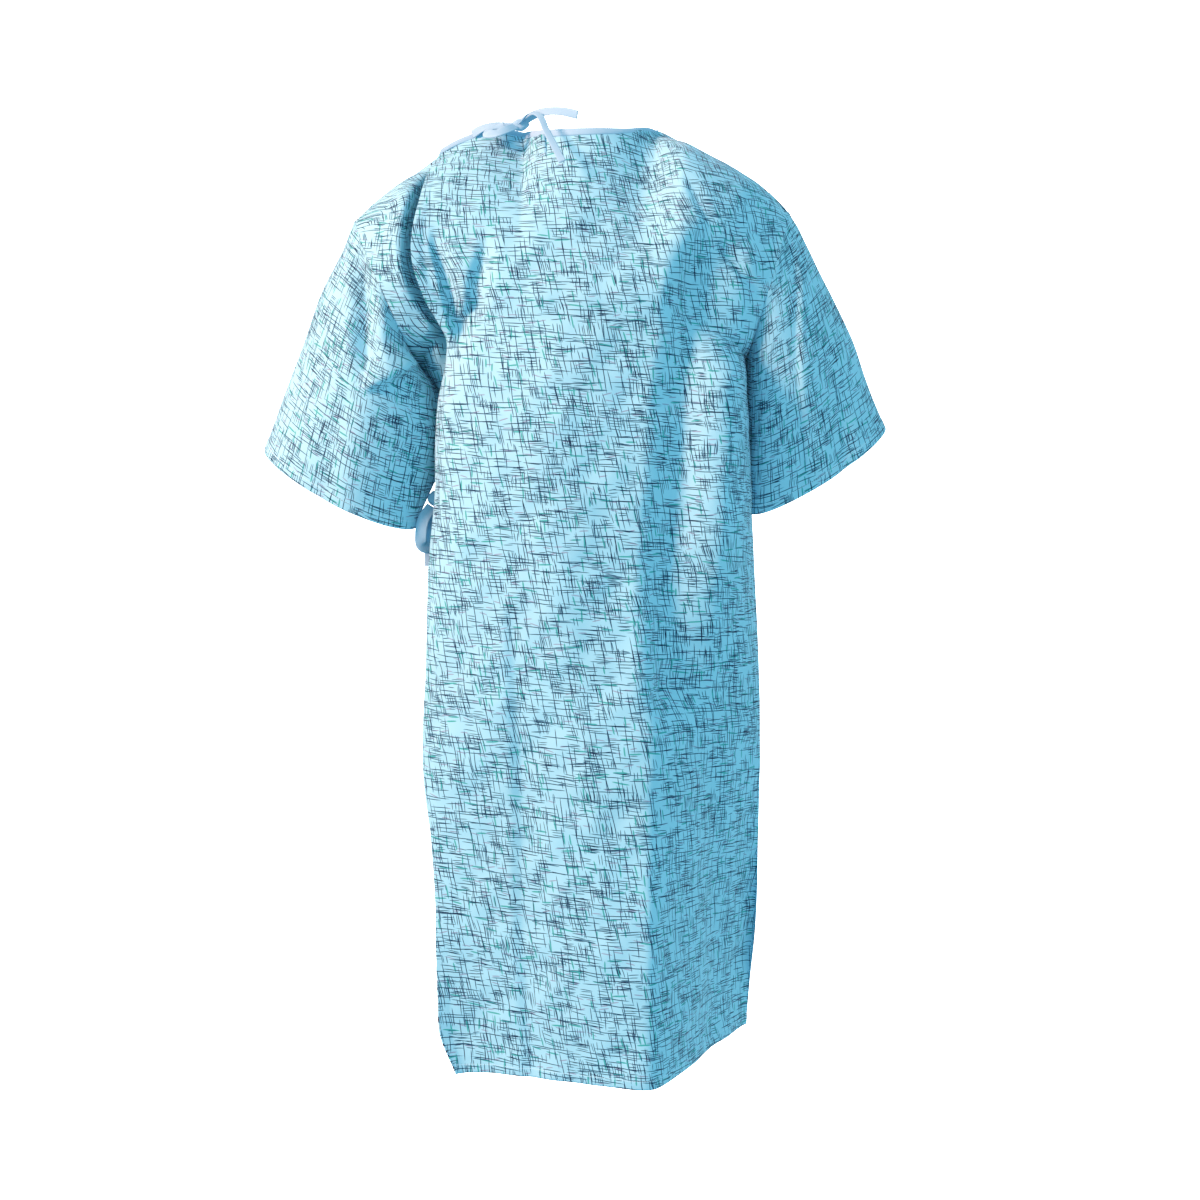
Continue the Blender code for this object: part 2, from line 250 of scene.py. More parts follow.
def torso(q, v, front, sunk, left_edge=seam_edge, left_top=SHOULDER_LEFT):
    """Points of a body panel: q runs from its left edge to the right seam, v from the top to the hem."""
    c = 0.5 - 0.5 * np.cos(math.pi * q)
    left_z = mix(left_top[2], -HEM_DEPTH, v)
    right_z = mix(SHOULDER_RIGHT[2], -HEM_DEPTH, v)
    left = left_edge(left_z, True, front)
    right = seam_edge(right_z, False, front)
    x = mix(left[0], right[0], c)
    top = top_z(x, sunk, front)
    z = mix(top, -HEM_DEPTH, v)
    z = z + (left_z - mix(top_z(left[0], sunk, front), -HEM_DEPTH, v)) * (1.0 - c) ** 8
    z = z + (right_z - mix(top_z(right[0], sunk, front), -HEM_DEPTH, v)) * c ** 8
    square = 2.6 if front else np.where(c > 0.5, mix(4.2, 8.0, smooth(-z, 0.20, 0.34)), 2.6)
    flat = np.clip(1.0 - np.abs(2.0 * c - 1.0) ** square, 0.0, None)
    arch = mix(flat, np.sqrt(flat), smooth(-z, 0.20, 0.34))
    drop = top - z - EDGE_LIP * (1.0 - smooth(x, 0.080, 0.130)) * smooth(x, -0.240, -0.190)
    below = np.clip(drop / 0.17, 0.0, 1.0)
    lower = np.clip(drop / 0.21, 0.0, 1.0)
    stood = mix(lower, smooth(lower, 0.0, 1.0), 0.7)
    rise = mix(np.sqrt(1.0 - (1.0 - below) ** 2), stood, upright(x, front))
    edge = left[1] * (1.0 - c) ** mix(3.0, 1.6, smooth(-z, 0.04, 0.12)) + right[1] * c ** 3
    edge = edge + neck_y(x, front) * (1.0 - rise)
    share = arch * np.where(z > -0.5, rise, 1.0)
    y = mix(edge, middle_y(x, z, front), share)
    return np.stack([x, y, z], -1)


# Folds of the back, each a line of depth and x, from the top down
RIGHT_VALLEY = (
    (0.148, 0.1430), (0.174, 0.1400), (0.2185, 0.1330), (0.2645, 0.1290),
    (0.3105, 0.1210), (0.434, 0.1120), (0.583, 0.1010), (0.72, 0.1040),
)
WEDGE_FOLD = ((0.149, -0.1900), (0.175, -0.1830), (0.232, -0.1700), (0.262, -0.1640))
SOFT_CREASE = ((0.150, -0.128), (0.192, -0.1397), (0.222, -0.1434), (0.253, -0.1623))
LONG_CREASE = ((0.600, -0.0940), (0.883, -0.0842), (0.929, -0.0842), (1.168, -0.0722))
SHOULDER_WRINKLE = ((0.150, 0.168), (0.178, 0.186), (0.205, 0.203))
YOKE_CREASE = ((0.062, 0.118), (0.098, 0.134), (0.128, 0.146))
SIDE_DRAPE = ((0.78, 0.150), (1.0, 0.165), (1.168, 0.160))
WAIST_DRAPE = ((0.36, -0.060), (0.62, -0.020), (0.90, 0.010), (1.165, 0.020))


def back_relief(x, depth):
    """How far the back of the over panel stands out of its smooth shape."""
    total = fold(x, depth, RIGHT_VALLEY, 0.048, 0.056, -0.0370)
    total = total + fold(x, depth, WEDGE_FOLD, 0.009, 0.022, -0.0180)
    total = total + fold(x, depth, SOFT_CREASE, 0.013, 0.024, -0.0170)
    total = total + fold(x, depth, LONG_CREASE, 0.014, 0.050, -0.0080)
    total = total + fold(x, depth, SHOULDER_WRINKLE, 0.010, 0.016, -0.0090, 0.012)
    total = total + fold(x, depth, YOKE_CREASE, 0.012, 0.014, -0.0060, 0.015)
    total = total + fold(x, depth, SIDE_DRAPE, 0.030, 0.022, -0.0080)
    total = total + fold(x, depth, WAIST_DRAPE, 0.050, 0.050, 0.0050)
    settled = smooth(depth, 0.02, 0.12)
    total = total + 0.0036 * waves(x, depth * 0.40, 11, 0.11) * settled
    return total + 0.0012 * waves(x, depth * 0.6, 12, 0.035) * settled


def stand_out(p, push):
    """Moves a body panel's points out along the cloth's own normals by push."""
    return p + outward_normals(p, *BODY_AXIS) * push[..., None]


def over_back(u, v):
    """The over panel and the right back panel it is sewn to, as one cloth."""
    top = (FREE_EDGE[0][1], FREE_EDGE[0][2], -FREE_EDGE[0][0])
    p = torso(u, v, False, 0.0, free_edge, top)
    x, depth = p[..., 0], -p[..., 2]
    p[..., 1] -= 0.0010 * smooth(1.0 - u, 0.0, 0.05)
    calm = mix(0.15, 1.0, smooth(x - spline(FREE_EDGE, depth), 0.0, 0.018)) * smooth(1.0 - u, 0.0, 0.07)
    return stand_out(p, back_relief(x, depth) * calm)


# The deep tuck in the under panel beside the armhole, and the ridge to the left of it
TUCK = (
    (0.030, -0.194), (0.091, -0.2105), (0.117, -0.2165), (0.160, -0.2190),
    (0.194, -0.2110), (0.226, -0.1955), (0.250, -0.1800), (0.300, -0.1760),
)
RIDGE = (
    (0.060, -0.212), (0.105, -0.2250), (0.137, -0.2285), (0.1625, -0.2310),
    (0.200, -0.2215), (0.240, -0.1990), (0.290, -0.1900),
)


def under_back(u, v):
    """The panel under it, from the left seam to its own free edge near the middle."""
    edge = mix(0.460, 0.515, smooth(v, 0.0, 0.30))
    p = torso(u * edge, v, False, 0.0015)
    x, depth = p[..., 0], -p[..., 2]
    p[..., 1] += 0.008 * smooth(x, -0.235, -0.205) * smooth(depth, 0.02, 0.08)
    sewn = smooth(v, 0.0, 0.025)
    p[..., 1] += fold(x, depth, TUCK, 0.019, 0.110, 0.019, 0.025) * sewn
    p[..., 1] -= fold(x, depth, RIDGE, 0.034, 0.015, 0.012, 0.025) * sewn
    unrest = smooth(depth, 0.03, 0.10) * smooth(u, 0.0, 0.08)
    return stand_out(p, 0.0015 * waves(x, depth * 0.5, 21, 0.09) * unrest)


FRONT_DRAPE_LEFT = ((0.22, -0.100), (0.60, -0.085), (1.165, -0.070))
FRONT_DRAPE_RIGHT = ((0.22, 0.105), (0.60, 0.100), (1.165, 0.120))
FRONT_DRAPE_MIDDLE = ((0.45, 0.010), (0.80, 0.020), (1.165, 0.030))


def front_body(u, v):
    p = torso(u, v, True, 0.0008)
    x, depth = p[..., 0], -p[..., 2]
    push = fold(x, depth, FRONT_DRAPE_LEFT, 0.05, 0.03, -0.006)
    push = push + fold(x, depth, FRONT_DRAPE_RIGHT, 0.03, 0.05, -0.006)
    push = push + fold(x, depth, FRONT_DRAPE_MIDDLE, 0.05, 0.05, 0.006)
    push = push + 0.0025 * waves(x, depth * 0.35, 31, 0.12) * smooth(depth, 0.05, 0.2)
    seams = smooth(u, 0.0, 0.07) * smooth(1.0 - u, 0.0, 0.07)
    p[..., 1] += 0.0010 * seams
    return stand_out(p, push * seams)


# ---------------------------------------------------------------- sleeves

# Ends of the armhole, middle of the hem, half the hem from the outer to the inner edge, and how far
# the middle of its back is off the straight line between those edges
SLEEVES = {
    "left": {
        "tip": SHOULDER_LEFT, "low": UNDERARM_LEFT,
        "hem": (-0.3175, -0.010, -0.4460), "half": (0.0965, 0.0, -0.0480),
        "back": (0.004, -0.070, -0.024), "fullness": 1.0, "unrest": 0.0032, "seed": 41,
    },
    "right": {
        "tip": SHOULDER_RIGHT, "low": UNDERARM_RIGHT,
        "hem": (0.2940, 0.028, -0.4240), "half": (-0.0870, 0.0, -0.0480),
        "back": (-0.022, -0.058, -0.032), "fullness": 0.3, "unrest": 0.0016, "seed": 42,
    },
}
# How far the outer and the inner edge stand out between armhole and hem: v, distance
LEFT_OUTLINE = ((0.0, 0.0), (0.12, 0.001), (0.30, 0.006), (0.5, 0.004), (0.8, 0.002), (1.0, 0.0))
LEFT_INNER = (
    (0.0, 0.0), (0.12, 0.020), (0.30, 0.038), (0.55, 0.036), (0.80, 0.016), (0.90, 0.007), (1.0, 0.0),
)
RIGHT_OUTLINE = ((0.0, 0.0), (0.15, 0.003), (0.40, 0.009), (0.58, 0.010), (0.75, 0.005), (1.0, 0.0))


def sleeve_point(side, turn, v):
    """Turn 0 is the shoulder, a quarter the back, a half the underarm; v runs from armhole to hem."""
    s = SLEEVES[side]
    tip, low = np.array(s["tip"]), np.array(s["low"])
    cos, sin = np.cos(2 * math.pi * turn)[..., None], np.sin(2 * math.pi * turn)[..., None]
    start = mix(low, tip, 0.5 + 0.5 * cos) + np.array([0.0, -ARMHOLE_HALF, 0.0]) * sin
    end = np.array(s["hem"]) - np.array(s["half"]) * cos + np.array(s["back"]) * sin
    if side == "right":
        # Its inner half is squarer, so that the back of the sleeve hangs flat
        boxed = np.where(cos < 0.0, np.sign(sin) * np.sqrt(np.abs(sin)) - sin, 0.0)
        end = end + np.array([0.0, s["back"][1], 0.0]) * boxed
    centre = 0.5 * (low + tip)
    start = centre + (start - centre) * (1.0 + 3.0 * np.minimum(v, 0.0))[..., None]
    p = mix(start, end, v[..., None])
    outward = -1.0 if side == "left" else 1.0
    belly = s["fullness"] * np.sin(math.pi * v) * (0.008 + 0.010 * np.sin(2 * math.pi * turn) ** 2)
    outline = spline(LEFT_OUTLINE if side == "left" else RIGHT_OUTLINE, v)
    upper = np.clip(cos[..., 0], 0.0, 1.0) ** 2
    lower = np.clip(-cos[..., 0], 0.0, 1.0) ** 2
    p[..., 0] += outward * (outline * upper)
    if side == "left":
        p[..., 0] += spline(LEFT_INNER, v) * lower
    p[..., 1] += -np.sign(sin[..., 0]) * belly * np.abs(sin[..., 0])
    return p


LEFT_SLEEVE_FOLD = (
    (0.160, -0.2880), (0.200, -0.2800), (0.231, -0.2775), (0.263, -0.2780), (0.300, -0.2720),
)
LEFT_SLEEVE_DRAPE = ((0.330, -0.300), (0.400, -0.318), (0.470, -0.330))
# The puff at the left underarm ends below in this line: x, depth
LEFT_PUFF_FOOT = ((-0.2740, 0.322), (-0.2500, 0.311), (-0.2300, 0.298), (-0.2120, 0.281))
RIGHT_SLEEVE_CREASE = (
    (0.090, 0.2350), (0.108, 0.2440), (0.143, 0.2540), (0.180, 0.2625), (0.245, 0.2640),
    (0.320, 0.2660), (0.375, 0.2720), (0.430, 0.2760),
)
RIGHT_HEM_DRAPE = ((0.300, 0.3050), (0.360, 0.3160), (0.420, 0.3250))


def sleeve(side, turn, v):
    p = sleeve_point(side, turn, v)
    x, depth = p[..., 0], -p[..., 2]
    back = smooth(np.sin(2 * math.pi * turn), 0.0, 0.35)
    settled = smooth(v, 0.0, 0.08)
    if side == "left":
        push = fold(x, depth, LEFT_SLEEVE_FOLD, 0.022, 0.024, -0.0210) * back
        push = push + fold(depth, x, LEFT_PUFF_FOOT, 0.045, 0.010, 0.0170, 0.010) * back * settled
        push = push + fold(x, depth, LEFT_SLEEVE_DRAPE, 0.030, 0.030, -0.0060) * back
    else:
        push = fold(x, depth, RIGHT_SLEEVE_CREASE, 0.006, 0.050, 0.0065) * back * settled
        push = push + fold(x, depth, RIGHT_HEM_DRAPE, 0.030, 0.020, -0.0080) * back
    seen = np.abs(np.sin(2 * math.pi * turn)) ** 0.7
    s = SLEEVES[side]
    push = push + s["unrest"] * waves(turn * 0.5, v * 0.25, s["seed"], 0.11) * settled * seen
    middle = p.mean(axis=1, keepdims=True)
    out = p - middle
    out[..., 2] *= 0.4
    out = out / np.maximum(np.linalg.norm(out, axis=-1, keepdims=True), 1e-6)
    return p + out * push[..., None]


# ---------------------------------------------------------------- meshes


def lengths(p, axis):
    step = np.linalg.norm(np.diff(p, axis=axis), axis=-1)
    total = np.cumsum(step, axis=axis)
    return np.concatenate([np.zeros_like(np.take(total, [0], axis)), total], axis)


def grain(p):
    """Level and plumb distances over a body panel, in metres of cloth from its middle and from the neck."""
    level = lengths(p * np.array([1.0, 1.0, 0.0]), 1)
    centre = np.array([[np.interp(0.0, row[:, 0], run)] for row, run in zip(p, level)])
    column = p[:, np.argmin(np.abs(p[p.shape[0] // 2, :, 0]))]
    run = np.concatenate([[0.0], np.cumsum(np.linalg.norm(np.diff(column, axis=0), axis=1))])
    plumb = np.interp(-p[..., 2], -column[:, 2], run)
    down = lengths(p, 0)
    settled = np.argmax(-column[:, 2] > 0.13)
    over_shoulder = plumb[settled] - down[settled] + down
    plumb[:settled] = over_shoulder[:settled]
    return level - centre, plumb


def outward_normals(p, axis_top, axis_foot):
    normal = np.cross(np.gradient(p, axis=1), np.gradient(p, axis=0))
    normal /= np.maximum(np.linalg.norm(normal, axis=-1, keepdims=True), 1e-12)
    line = np.array(axis_foot) - np.array(axis_top)
    off = p - np.array(axis_top)
    off = off - (off @ line / (line @ line))[..., None] * line
    return normal if (normal * off).sum() > 0 else -normal


def new_object(name, points, faces, mats, face_mats=None):
    mesh = bpy.data.meshes.new(name)
    mesh.from_pydata([tuple(p) for p in points], [], [tuple(f) for f in faces])
    for mat in mats:
        mesh.materials.append(mat)
    if face_mats is not None:
        mesh.polygons.foreach_set("material_index", np.array(face_mats, np.int32))
    mesh.polygons.foreach_set("use_smooth", np.ones(len(mesh.polygons), bool))
    obj = bpy.data.objects.new(name, mesh)
    bpy.context.scene.collection.objects.link(obj)
    return obj


def set_uv(obj, name, values):
    layer = obj.data.uv_layers.new(name=name)
    layer.data.foreach_set("uv", np.asarray(values, np.float32).ravel())


def cloth_sheet(name, p, thick, mats, skew, axis, ring=False, shift=(0.0, 0.0)):
    """A closed thin cloth over the grid of points p[row, column], with UV maps in metres.

    The map "cloth" carries the print, and "edge" says how far along the hem and above it a point is.
    skew turns the upright and the level strokes of the print, in degrees.
    """
    nv, nu = p.shape[:2]
    if ring:
        wide = np.concatenate([p[:, -2:-1], p, p[:, 1:2]], 1)
        normal = outward_normals(wide, *axis)[:, 1:-1]
    else:
        normal = outward_normals(p, *axis)
    half = 0.5 * thick[..., None]
    outer, inner = p + normal * half, p - normal * half
    columns = nu - 1 if ring else nu
    points = np.concatenate([outer[:, :columns].reshape(-1, 3), inner[:, :columns].reshape(-1, 3)])
    along, down = lengths(p, 1), lengths(p, 0)
    if ring:
        across, height = along - along[:, nu // 4][:, None], down - down[-1:]
    else:
        across, height = grain(p)
    upright_turn, level_turn = (math.radians(turn) for turn in skew)
    cloth_u = across * math.cos(upright_turn) - height * math.sin(upright_turn) + shift[0]
    cloth_v = -across * math.sin(level_turn) - height * math.cos(level_turn) + shift[1]
    cloth = np.stack([cloth_u, cloth_v], -1)
    edge = np.stack([along, down[-1:] - down], -1)
    faces, corners, slots = [], [], []

    def add(corner_list, layer_list, slot):
        places = zip(corner_list, layer_list)
        faces.append([k * nv * columns + i * columns + j % columns for (i, j), k in places])
        corners.extend(corner_list)
        slots.append(slot)

    side = np.cross(p[1, 1] - p[0, 1], p[0, 1] - p[0, 0]) @ normal[0, 1] < 0
    for i in range(nv - 1):
        for j in range(nu - 1):
            quad = [(i, j), (i, j + 1), (i + 1, j + 1), (i + 1, j)]
            if not side:
                quad.reverse()
            add(quad, (0, 0, 0, 0), 0)
            add(quad[::-1], (1, 1, 1, 1), 1)
    rims = [[(i, 0), (i + 1, 0)] for i in range(nv - 1)] if not ring else []
    rims += [[(i + 1, nu - 1), (i, nu - 1)] for i in range(nv - 1)] if not ring else []
    rims += [[(0, j + 1), (0, j)] for j in range(nu - 1)]
    rims += [[(nv - 1, j), (nv - 1, j + 1)] for j in range(nu - 1)]
    for a, b in rims:
        quad, layers = [a, b, b, a], (0, 0, 1, 1)
        if not side:
            quad, layers = quad[::-1], layers[::-1]
        add(quad, layers, 0)
    obj = new_object(name, points, faces, mats, slots)
    index = np.array(corners)
    set_uv(obj, "cloth", cloth[index[:, 0], index[:, 1]])
    set_uv(obj, "edge", edge[index[:, 0], index[:, 1]])
    return obj


def grid(surface, us, vs):
    u, v = np.meshgrid(us, vs)
    return surface(u, v)


def hem_thickness(p, sides=()):
    """Cloth thickness over the grid: doubled where the hem, and a free edge, is turned up and sewn."""
    up = lengths(p, 0)
    up = up[-1:] - up
    along = lengths(p, 1)
    folded = 1.0 - smooth(up, HEM_FOLD - 0.0015, HEM_FOLD + 0.0008)
    groove = np.exp(-((up - HEM_FOLD + 0.002) / 0.0011) ** 2)
    for side in sides:
        off = along if side == "left" else along[:, -1:] - along
        folded = np.maximum(folded, 1.0 - smooth(off, HEM_FOLD - 0.0015, HEM_FOLD + 0.0008))
        groove = np.maximum(groove, np.exp(-((off - HEM_FOLD + 0.002) / 0.0011) ** 2))
    return mix(CLOTH, HEM_THICK, folded) - 0.0007 * groove


# ---------------------------------------------------------------- materials


class Graph:
    """Short calls for building a node tree."""

    def __init__(self, name, roughness):
        self.mat = bpy.data.materials.new(name)
        self.mat.use_nodes = True
        self.nodes = self.mat.node_tree.nodes
        self.links = self.mat.node_tree.links
        self.shader = self.nodes["Principled BSDF"]
        self.shader.inputs["Roughness"].default_value = roughness

    def node(self, kind, inputs=None, **settings):
        made = self.nodes.new(kind)
        for key, value in settings.items():
            setattr(made, key, value)
        for key, value in (inputs or {}).items():
            if isinstance(value, bpy.types.NodeSocket):
                self.links.new(value, made.inputs[key])
            else:
                made.inputs[key].default_value = value
        return made

    def math(self, operation, *values, clamp=False):
        inputs = dict(enumerate(values))
        return self.node("ShaderNodeMath", inputs, operation=operation, use_clamp=clamp).outputs[0]

    def vector(self, operation, *values):
        inputs = dict(enumerate(values))
        return self.node("ShaderNodeVectorMath", inputs, operation=operation).outputs[0]

    def mix_colour(self, factor, a, b):
        made = self.node("ShaderNodeMix", data_type="RGBA")
        for key, value in ((0, factor), (6, a), (7, b)):
            if isinstance(value, bpy.types.NodeSocket):
                self.links.new(value, made.inputs[key])
            else:
                made.inputs[key].default_value = value
        return made.outputs[2]

    def uv(self, name):
        return self.node("ShaderNodeUVMap", uv_map=name).outputs[0]

    def split(self, vector):
        made = self.node("ShaderNodeSeparateXYZ", {0: vector})
        return made.outputs[0], made.outputs[1], made.outputs[2]

    def noise(self, vector, scale, detail=2.0):
        inputs = {"Vector": vector, "Scale": scale, "Detail": detail}
        return self.node("ShaderNodeTexNoise", inputs).outputs[0]


# Width over which the ink has bled, and how unevenly the strokes are spread
BLEED = 0.00024
PATCH_SCALE = 17.0
PATCHINESS = 0.6
# Share of the strokes in a group that are there
GROUP_SHARE = 0.86


def strokes(g, uv, wide, tall, half, keep, seed, tilt=0.10, upright=True, group=1):
    """One layer of pen strokes, one to a cell of wide by tall metres, kept or left out in groups.

    Gives 1 in the middle of a stroke and falls off over the edge where the ink has bled.
    """
    x, y, _ = g.split(uv)
    across, along = (x, y) if upright else (y, x)
    across = g.math("ADD", g.math("DIVIDE", across, wide), seed * 3.71 % 1.0)
    column = g.math("FLOOR", across)
    band = g.math("FLOOR", g.math("DIVIDE", column, float(group)))
    start = g.math("ADD", band, seed * 17.3)
    shifted = g.node("ShaderNodeTexWhiteNoise", {"W": start}, noise_dimensions="1D")
    along = g.math("ADD", g.math("DIVIDE", along, tall), shifted.outputs["Value"])
    row = g.math("FLOOR", along)
    key = g.node("ShaderNodeCombineXYZ", {0: column, 1: row, 2: float(seed)}).outputs[0]
    random = g.node("ShaderNodeTexWhiteNoise", {"Vector": key}, noise_dimensions="3D")
    first, second, third = g.split(random.outputs["Color"])
    shared = g.node("ShaderNodeCombineXYZ", {0: band, 1: row, 2: seed + 0.5}).outputs[0]
    chosen = g.node("ShaderNodeTexWhiteNoise", {"Vector": shared}, noise_dimensions="3D")
    patch = g.noise(g.vector("MULTIPLY", key, (wide, tall, 1.0)), PATCH_SCALE, 1.0)
    wanted = g.math("MULTIPLY_ADD", g.math("SUBTRACT", patch, 0.5), PATCHINESS, keep)
    kept = g.math("LESS_THAN", chosen.outputs["Value"], wanted)
    if group > 1:
        present = g.math("LESS_THAN", random.outputs["Value"], GROUP_SHARE)
        kept = g.math("MULTIPLY", kept, present)
    across_m = g.math("MULTIPLY", g.math("SUBTRACT", g.math("FRACT", across), 0.5), wide)
    along_m = g.math("MULTIPLY", g.math("SUBTRACT", g.math("FRACT", along), 0.5), tall)
    place = g.math("MULTIPLY", g.math("SUBTRACT", first, 0.5), 0.80 * wide)
    lean = g.math("MULTIPLY", g.math("SUBTRACT", second, 0.5), 2.0 * tilt)
    bow = g.math("MULTIPLY", g.math("MULTIPLY", along_m, along_m), g.math("SUBTRACT", third, 0.5))
    bow = g.math("MULTIPLY", bow, 0.09 / tall)
    off = g.math("SUBTRACT", across_m, place)
    off = g.math("SUBTRACT", off, g.math("MULTIPLY", lean, along_m))
    off = g.math("ABSOLUTE", g.math("ADD", off, bow))
    reach = g.math("MULTIPLY_ADD", third, 0.20 * tall, 0.28 * tall)
    taper = g.math("DIVIDE", g.math("ABSOLUTE", along_m), reach)
    taper = g.math("SUBTRACT", 1.0, g.math("POWER", taper, 4.0))
    room = g.math("SUBTRACT", g.math("MULTIPLY", taper, half), off)
    ink = g.math("MULTIPLY_ADD", room, 1.0 / BLEED, 1.0, clamp=True)
    return g.math("MULTIPLY", ink, kept)


def most(g, masks):
    total = masks[0]
    for mask in masks[1:]:
        total = g.math("MAXIMUM", total, mask)
    return total


def stitch_row(g, edge, height):
    """A dashed line of thread that runs along the hem at a height above it."""
    along, up, _ = g.split(edge)
    near = g.math("ABSOLUTE", g.math("SUBTRACT", up, height))
    line = g.math("LESS_THAN", near, 0.00045)
    beat = g.math("FRACT", g.math("DIVIDE", along, 0.0030))
    return g.math("MULTIPLY", line, g.math("LESS_THAN", beat, 0.72))


def finish_cloth(g, uv, colour, strength, weave=0.0007):
    """Weave and creases as bump, faint wear as colour, and the sheen of cotton."""
    x, y, _ = g.split(uv)
    warp = g.math("SINE", g.math("MULTIPLY", x, 2 * math.pi / weave))
    weft = g.math("SINE", g.math("MULTIPLY", y, 2 * math.pi / weave))
    threads = g.math("MULTIPLY", warp, weft)
    rumple = g.noise(uv, 45.0, 4.0)
    height = g.math("MULTIPLY_ADD", rumple, 6.0, g.math("MULTIPLY", threads, 0.35))
    bump = g.node("ShaderNodeBump", {"Height": height, "Strength": strength, "Distance": 0.0004})
    g.links.new(bump.outputs[0], g.shader.inputs["Normal"])
    worn = g.noise(uv, 9.0, 3.0)
    tone = g.math("MULTIPLY_ADD", worn, 0.14, 0.93)
    shade = g.node("ShaderNodeHueSaturation", {"Value": tone, "Color": colour})
    g.links.new(shade.outputs[0], g.shader.inputs["Base Color"])
    rough = g.math("MULTIPLY_ADD", worn, 0.12, 0.76)
    g.links.new(rough, g.shader.inputs["Roughness"])
    g.shader.inputs["Sheen Weight"].default_value = 0.12
    g.shader.inputs["Sheen Roughness"].default_value = 0.4
    g.shader.inputs["Specular IOR Level"].default_value = 0.25
    return g.mat


INK = (0.0003, 0.022, 0.062, 1.0)
TEAL = (0.0, 0.300, 0.300, 1.0)
PLUM = (0.145, 0.150, 0.300, 1.0)
BLUE = (0.220, 0.600, 0.780, 1.0)
PALE = (0.270, 0.630, 0.800, 1.0)
THREAD = (0.330, 0.680, 0.860, 1.0)
TAPE = (0.240, 0.540, 0.750, 1.0)
# Share of the base colour that is left where the ink has bled
BLED = (0.12, 0.58, 0.80, 1.0)
# Layers of the print: width and height of a cell, half the width of a stroke, share of the cells that
# have one, seed, tilt, whether it is upright, and how many stand together
INK_LAYERS = (
    (0.0130, 0.060, 0.00040, 0.86, 1, 0.05, True, 1),
    (0.0088, 0.028, 0.00038, 0.58, 2, 0.10, True, 1),
    (0.0035, 0.019, 0.00031, 0.24, 3, 0.11, True, 4),
    (0.0040, 0.013, 0.00033, 0.19, 9, 0.16, True, 3),
    (0.0112, 0.066, 0.00040, 0.88, 4, 0.04, False, 1),
    (0.0070, 0.031, 0.00038, 0.60, 5, 0.09, False, 1),
    (0.0034, 0.021, 0.00031, 0.28, 6, 0.11, False, 4),
    (0.0038, 0.015, 0.00033, 0.21, 10, 0.16, False, 3),
)
TEAL_LAYERS = (
    (0.0110, 0.018, 0.00080, 0.28, 7, 0.14, True, 1),
    (0.0130, 0.022, 0.00080, 0.26, 11, 0.14, False, 1),
)


def printed_cloth(name, base, fade):
    """Light blue cotton with a print of loose pen strokes and short coloured slivers."""
    g = Graph(name, 0.8)
    flat = g.uv("cloth")
    drift = g.node("ShaderNodeTexNoise", {"Vector": flat, "Scale": 30.0, "Detail": 1.0}).outputs[1]
    wobble = g.vector("MULTIPLY", g.vector("SUBTRACT", drift, (0.5, 0.5, 0.5)), (0.0030, 0.0030, 0.0))
    uv = g.vector("ADD", flat, wobble)
    ink = most(g, [strokes(g, uv, *layer) for layer in INK_LAYERS])
    teal = most(g, [strokes(g, uv, *layer) for layer in TEAL_LAYERS])
    plum = strokes(g, uv, 0.0100, 0.014, 0.00050, 0.28, 8, 0.30, False)
    colour = g.mix_colour(g.math("MULTIPLY", plum, 0.70 * fade), base, PLUM)
    colour = g.mix_colour(g.math("MULTIPLY", teal, 0.85 * fade), colour, TEAL)
    bled = tuple(c * b for c, b in zip(base, BLED))
    colour = g.mix_colour(g.math("MULTIPLY", ink, fade), colour, bled)
    core = g.math("MULTIPLY_ADD", ink, 2.2, -1.2, clamp=True)
    colour = g.mix_colour(g.math("MULTIPLY", core, fade), colour, INK)
    sewn = stitch_row(g, g.uv("edge"), HEM_FOLD - 0.002)
    colour = g.mix_colour(g.math("MULTIPLY", sewn, 0.8), colour, THREAD)
    return finish_cloth(g, flat, colour, 0.35)


def plain_cloth(name, base):
    g = Graph(name, 0.7)
    uv = g.uv("cloth")
    x, y, _ = g.split(uv)
    rib = g.math("SINE", g.math("MULTIPLY", y, 2 * math.pi / 0.0011))
    edge_line = g.math("LESS_THAN", g.math("ABSOLUTE", g.math("SUBTRACT", x, 0.0018)), 0.00025)
    dash = g.math("LESS_THAN", g.math("FRACT", g.math("DIVIDE", y, 0.0026)), 0.7)
    shade = g.math("MULTIPLY_ADD", rib, 0.05, 0.5, clamp=True)
    colour = g.mix_colour(shade, base, tuple(0.82 * c for c in base[:3]) + (1.0,))
    colour = g.mix_colour(g.math("MULTIPLY", g.math("MULTIPLY", edge_line, dash), 0.5), colour, THREAD)
    return finish_cloth(g, uv, colour, 0.30, 0.0009)


# ---------------------------------------------------------------- trims


